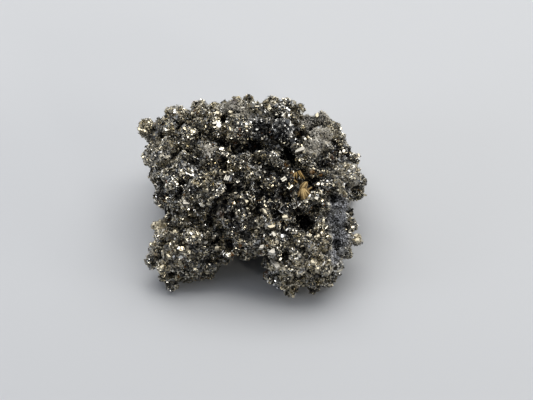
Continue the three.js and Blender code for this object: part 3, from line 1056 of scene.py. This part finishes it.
def make_tan_blade(foot, tip, width, roll, lightness):
    """One blade: a curled, ridged leaf, wide in the middle and rounded at its tip."""
    length = (tip - foot).length
    along = (tip - foot).normalized()
    side = TO_CAMERA.cross(along).normalized()
    facing = along.cross(side)
    tilt = math.radians(roll)
    rolled_side = side * math.cos(tilt) + facing * math.sin(tilt)
    rolled_facing = facing * math.cos(tilt) - side * math.sin(tilt)

    deselect_all()
    bpy.ops.mesh.primitive_grid_add(x_subdivisions=BLADE_COLUMNS, y_subdivisions=BLADE_ROWS, size=2)
    piece = bpy.context.object
    grid, _ = mesh_arrays(piece.data)
    across = grid[:, 0]
    up = (grid[:, 1] + 1) / 2
    ridges = np.cos(BLADE_RIDGES * math.pi * across)
    arch = BLADE_ARCH * width * (1 - across**2) + BLADE_CURL * length * np.sin(math.pi * up)
    lift = arch + BLADE_RIDGE_HEIGHT * ridges
    points = (
        np.array(foot)
        + np.outer(across * blade_spread(up) * width / 2, rolled_side)
        + np.outer(up * length, along)
        + np.outer(lift, rolled_facing)
    )
    move_points(piece, points)
    # Painted light on the ridges' crests and painted shade in their grooves; only the outermost rim gets
    # painted shade as a groove.
    rim = across**12
    tone = np.stack([np.full(len(up), lightness), 0.5 + 0.5 * ridges, rim, np.ones(len(up))], axis=1)
    layer = piece.data.attributes.new("tone", "FLOAT_COLOR", "POINT")
    layer.data.foreach_set("color", tone.astype(np.float32).ravel())
    apply_modifier(piece, "SOLIDIFY", thickness=BLADE_THICKNESS, offset=0)
    apply_modifier(piece, "SUBSURF", levels=1, render_levels=1)
    return piece


def make_tan_blades(mass):
    surface = surface_of(mass)
    blades = []
    for number, (fan, foot, tip, width, roll, lightness) in enumerate(TAN_BLADES):
        u, v, stands_out = fan
        middle = seen_at(surface, u, v)[0] + TO_CAMERA * (stands_out * MM + number * BLADE_STEP)
        ends = [over_the_surface(middle, *pixel) for pixel in (foot, tip)]
        blades.append(make_tan_blade(*ends, width * MM, roll, lightness))
    deselect_all()
    for blade in blades:
        blade.select_set(True)
    bpy.context.view_layer.objects.active = blades[0]
    bpy.ops.object.join()
    blades[0].name = "tan_blades"
    make_active(blades[0])
    bpy.ops.object.mode_set(mode="EDIT")
    bpy.ops.mesh.select_all(action="SELECT")
    bpy.ops.mesh.normals_make_consistent(inside=False)
    bpy.ops.object.mode_set(mode="OBJECT")
    blades[0].data.shade_smooth()
    return blades[0]


# Materials

# Growth lines run along the crystal faces. Real ones are a twentieth of a millimetre apart, too fine to
# show, so they are drawn this many millimetres apart.
GROWTH_LINES = 0.3
# The wave pattern's scale for lines one unit apart.
WAVE_SCALE = 2 * math.pi / 20
# The grains of the massive sulphide, and the specks of rust on the blades.
SULPHIDE_GRAIN = 0.4 * MM
LIMONITE_SPECK = 0.35 * MM


def mixed(tree, factor, low, high):
    """The colour between two, by a factor: each is a hex value or another node's socket."""
    ends = [linear(end) if isinstance(end, str) else end for end in (low, high)]
    mix = add_node(tree, "ShaderNodeMix", {"Factor": factor, "A": ends[0], "B": ends[1]}, data_type="RGBA")
    return mix.outputs["Result"]


def pyrite_crystals():
    """Iron pyrites in small free-grown crystals: a pale metal, steel grey to brassy.

    Fresh faces shine, tarnished ones are dark and duller, rusty ones brown, and dusty ones matt and pale.
    Their shade also carries painted shade in gaps and hollows and painted light on bud crowns and lit
    regions."""
    material = new_material("pyrite_crystals")
    tree = material.node_tree
    tone = add_node(tree, "ShaderNodeAttribute", attribute_name="tone")
    parts = add_node(tree, "ShaderNodeSeparateColor", {"Color": tone.outputs["Color"]})
    shade, warmth, rust = (parts.outputs[name] for name in ("Red", "Green", "Blue"))
    dust = tone.outputs["Alpha"]
    fresh = mixed(tree, warmth, "#cfd0cf", "#dfd4b6")
    # The shade here carries painted shade and painted light as well as tarnish.
    bare = mixed(tree, shade, "#3b3c3e", fresh)
    rusted = mixed(tree, rust, bare, mixed(tree, warmth, "#4a2a22", "#94703f"))
    powder = mixed(tree, warmth, "#bdc0c8", "#f0e8d2")
    colour = mixed(tree, dust, rusted, mixed(tree, shade, "#2e3138", powder))
    shine = add_node(tree, "ShaderNodeMapRange", {"Value": shade, "To Min": 0.36, "To Max": 0.13})
    roughness = add_node(
        tree,
        "ShaderNodeMix",
        {"Factor": dust, "A": shine.outputs["Result"], "B": 0.75},
        data_type="FLOAT",
    )
    dull = add_node(tree, "ShaderNodeMath", {0: dust, 1: rust}, operation="MAXIMUM")
    metallic = add_node(
        tree,
        "ShaderNodeMapRange",
        {"Value": dull.outputs[0], "To Min": 1.0, "To Max": 0.35},
    )
    grain = add_node(tree, "ShaderNodeAttribute", attribute_name="grain")
    lines = add_node(
        tree,
        "ShaderNodeTexWave",
        {"Vector": grain.outputs["Vector"], "Scale": WAVE_SCALE / GROWTH_LINES, "Distortion": 0.6},
        bands_direction="Z",
    )
    bump = add_node(
        tree,
        "ShaderNodeBump",
        {"Height": lines.outputs["Fac"], "Distance": 0.02 * MM, "Strength": 0.6},
    )
    shader = add_node(
        tree,
        "ShaderNodeBsdfPrincipled",
        {
            "Base Color": colour,
            "Roughness": roughness.outputs["Result"],
            "Metallic": metallic.outputs["Result"],
            "Normal": bump.outputs["Normal"],
        },
    )
    finish_material(tree, shader)
    return material


def massive_pyrite_and_gap_shade():
    """Massive fine-grained sulphide between the crystals and on the break: granular, half metallic, and very
    dark as painted shade in the gaps between the crystals.
    """
    material = new_material("massive_pyrite_and_gap_shade")
    tree = material.node_tree
    place = add_node(tree, "ShaderNodeTexCoord")
    grains = add_node(
        tree,
        "ShaderNodeTexVoronoi",
        {"Vector": place.outputs["Object"], "Scale": 1 / SULPHIDE_GRAIN},
    )
    bump = add_node(tree, "ShaderNodeBump", {"Height": grains.outputs["Distance"], "Distance": 0.1 * MM})
    shader = add_node(
        tree,
        "ShaderNodeBsdfPrincipled",
        {
            # The near-black colours are painted shade for the gaps.
            "Base Color": mixed(tree, grains.outputs["Color"], "#1a1b1c", "#4a4a47"),
            "Roughness": 0.55,
            "Metallic": 0.5,
            "Normal": bump.outputs["Normal"],
        },
    )
    finish_material(tree, shader)
    return material


def limonite():
    """Limonite, the earthy rust of pyrite, over the blades: matt ochre brown, with painted light along its
    ridges and painted shade in its grooves and at its rim.
    """
    material = new_material("limonite")
    tree = material.node_tree
    tone = add_node(tree, "ShaderNodeAttribute", attribute_name="tone")
    parts = add_node(tree, "ShaderNodeSeparateColor", {"Color": tone.outputs["Color"]})
    lightness, ridge, rim = (parts.outputs[name] for name in ("Red", "Green", "Blue"))
    place = add_node(tree, "ShaderNodeTexCoord")
    specks = add_node(
        tree,
        "ShaderNodeTexNoise",
        {"Vector": place.outputs["Object"], "Scale": 1 / LIMONITE_SPECK, "Detail": 3.0},
    )
    # Painted shade in the grooves and at the rim, painted light on the crests.
    ground = mixed(tree, lightness, "#22180a", "#523816")
    crest = mixed(tree, lightness, "#ab8838", "#f7d99c")
    ridged = mixed(tree, ridge, ground, crest)
    rimmed = mixed(tree, rim, ridged, ground)
    earthy = add_node(
        tree,
        "ShaderNodeMapRange",
        {"Value": specks.outputs["Fac"], "From Min": 0.4, "From Max": 0.7, "To Max": 0.35},
    )
    colour = mixed(tree, earthy.outputs["Result"], rimmed, mixed(tree, lightness, "#6b5630", "#ad8f62"))
    bump = add_node(tree, "ShaderNodeBump", {"Height": specks.outputs["Fac"], "Distance": 0.08 * MM})
    shader = add_node(
        tree,
        "ShaderNodeBsdfPrincipled",
        {"Base Color": colour, "Roughness": 0.7, "Normal": bump.outputs["Normal"]},
    )
    finish_material(tree, shader)
    return material


def white_table():
    """A smooth matt white sheet."""
    material = new_material("white_table")
    tree = material.node_tree
    shader = add_node(
        tree,
        "ShaderNodeBsdfPrincipled",
        {"Base Color": linear("#d6d9dd"), "Roughness": 0.55, "Specular IOR Level": 0.3},
    )
    finish_material(tree, shader)
    return material


# The stage

# In metres.
TABLE_SIZE = 4
# Each light: its place, width and height in metres, its power in watts, and its colour.
LIGHTS = {
    "window": (WINDOW_PLACE, 1.3, 0.52, 7.0, "#fffcf7"),
    "left_fill": ((-0.6, -0.1, 0.2), 0.2, 0.2, 0.55, "#f4f6ff"),
    "right_fill": ((0.6, -0.1, 0.2), 0.2, 0.2, 0.6, "#fffaf0"),
    "front_lamp": (FRONT_LAMP_PLACE, 0.1, 0.1, 0.34, "#fff8ee"),
}


def make_floor():
    deselect_all()
    bpy.ops.mesh.primitive_plane_add(size=TABLE_SIZE)
    floor = bpy.context.object
    floor.name = "table"
    floor.data.materials.append(white_table())


def add_light(name, place, width, height, watts, colour):
    """A soft rectangular light that points at the specimen."""
    data = bpy.data.lights.new(name, "AREA")
    data.shape = "RECTANGLE"
    data.size = width
    data.size_y = height
    data.energy = watts
    data.color = linear(colour)[:3]
    light = bpy.data.objects.new(name, data)
    light.location = place
    aim = CAMERA_TARGET - Vector(place)
    light.rotation_euler = aim.to_track_quat("-Z", "Y").to_euler()
    bpy.context.scene.collection.objects.link(light)


def make_room():
    """The dim room around: light behind the specimen, and dark towards the viewer."""
    world = bpy.data.worlds.new("room")
    world.use_nodes = True
    tree = world.node_tree
    tree.nodes.clear()
    direction = add_node(tree, "ShaderNodeTexCoord")
    axes = add_node(tree, "ShaderNodeSeparateXYZ", {"Vector": direction.outputs["Generated"]})
    behind = add_node(
        tree,
        "ShaderNodeMapRange",
        {"Value": axes.outputs["Y"], "From Min": -0.6, "From Max": 0.7, "To Min": 0.03},
    )
    colour = mixed(tree, behind.outputs["Result"], "#000000", "#dfe4ee")
    light = add_node(tree, "ShaderNodeBackground", {"Color": colour, "Strength": 0.57})
    add_node(tree, "ShaderNodeOutputWorld", {"Surface": light.outputs[0]})
    bpy.context.scene.world = world


def make_camera():
    data = bpy.data.cameras.new("camera")
    data.sensor_fit = "HORIZONTAL"
    data.angle = FIELD_OF_VIEW
    data.clip_start = 0.01
    camera = bpy.data.objects.new("camera", data)
    camera.location = CAMERA_PLACE
    camera.rotation_euler = (math.pi / 2 - CAMERA_ELEVATION, 0, 0)
    bpy.context.scene.collection.objects.link(camera)
    bpy.context.scene.camera = camera


# The whole scene


def finish_piece(piece, material):
    """A finished piece of the specimen: its material and the body it moves with, with the CAD node it
    replaces hidden.
    """
    piece.data.materials.append(material)
    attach(piece, "root")
    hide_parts(NODE)
    print(piece.name, len(triangle_arrays(piece.data)), "triangles")


mass, form = make_sulphide_mass()
mass.data.shade_smooth()
finish_piece(mass, massive_pyrite_and_gap_shade())
crystal_material = pyrite_crystals()
for crust in make_crust(mass, form):
    finish_piece(crust, crystal_material)
finish_piece(make_large_crystals(mass), crystal_material)
finish_piece(make_tan_blades(mass), limonite())

make_floor()
for light_name, light_settings in LIGHTS.items():
    add_light(light_name, *light_settings)
make_room()
make_camera()
bpy.context.scene.view_settings.view_transform = "Standard"

bpy.context.view_layer.update()
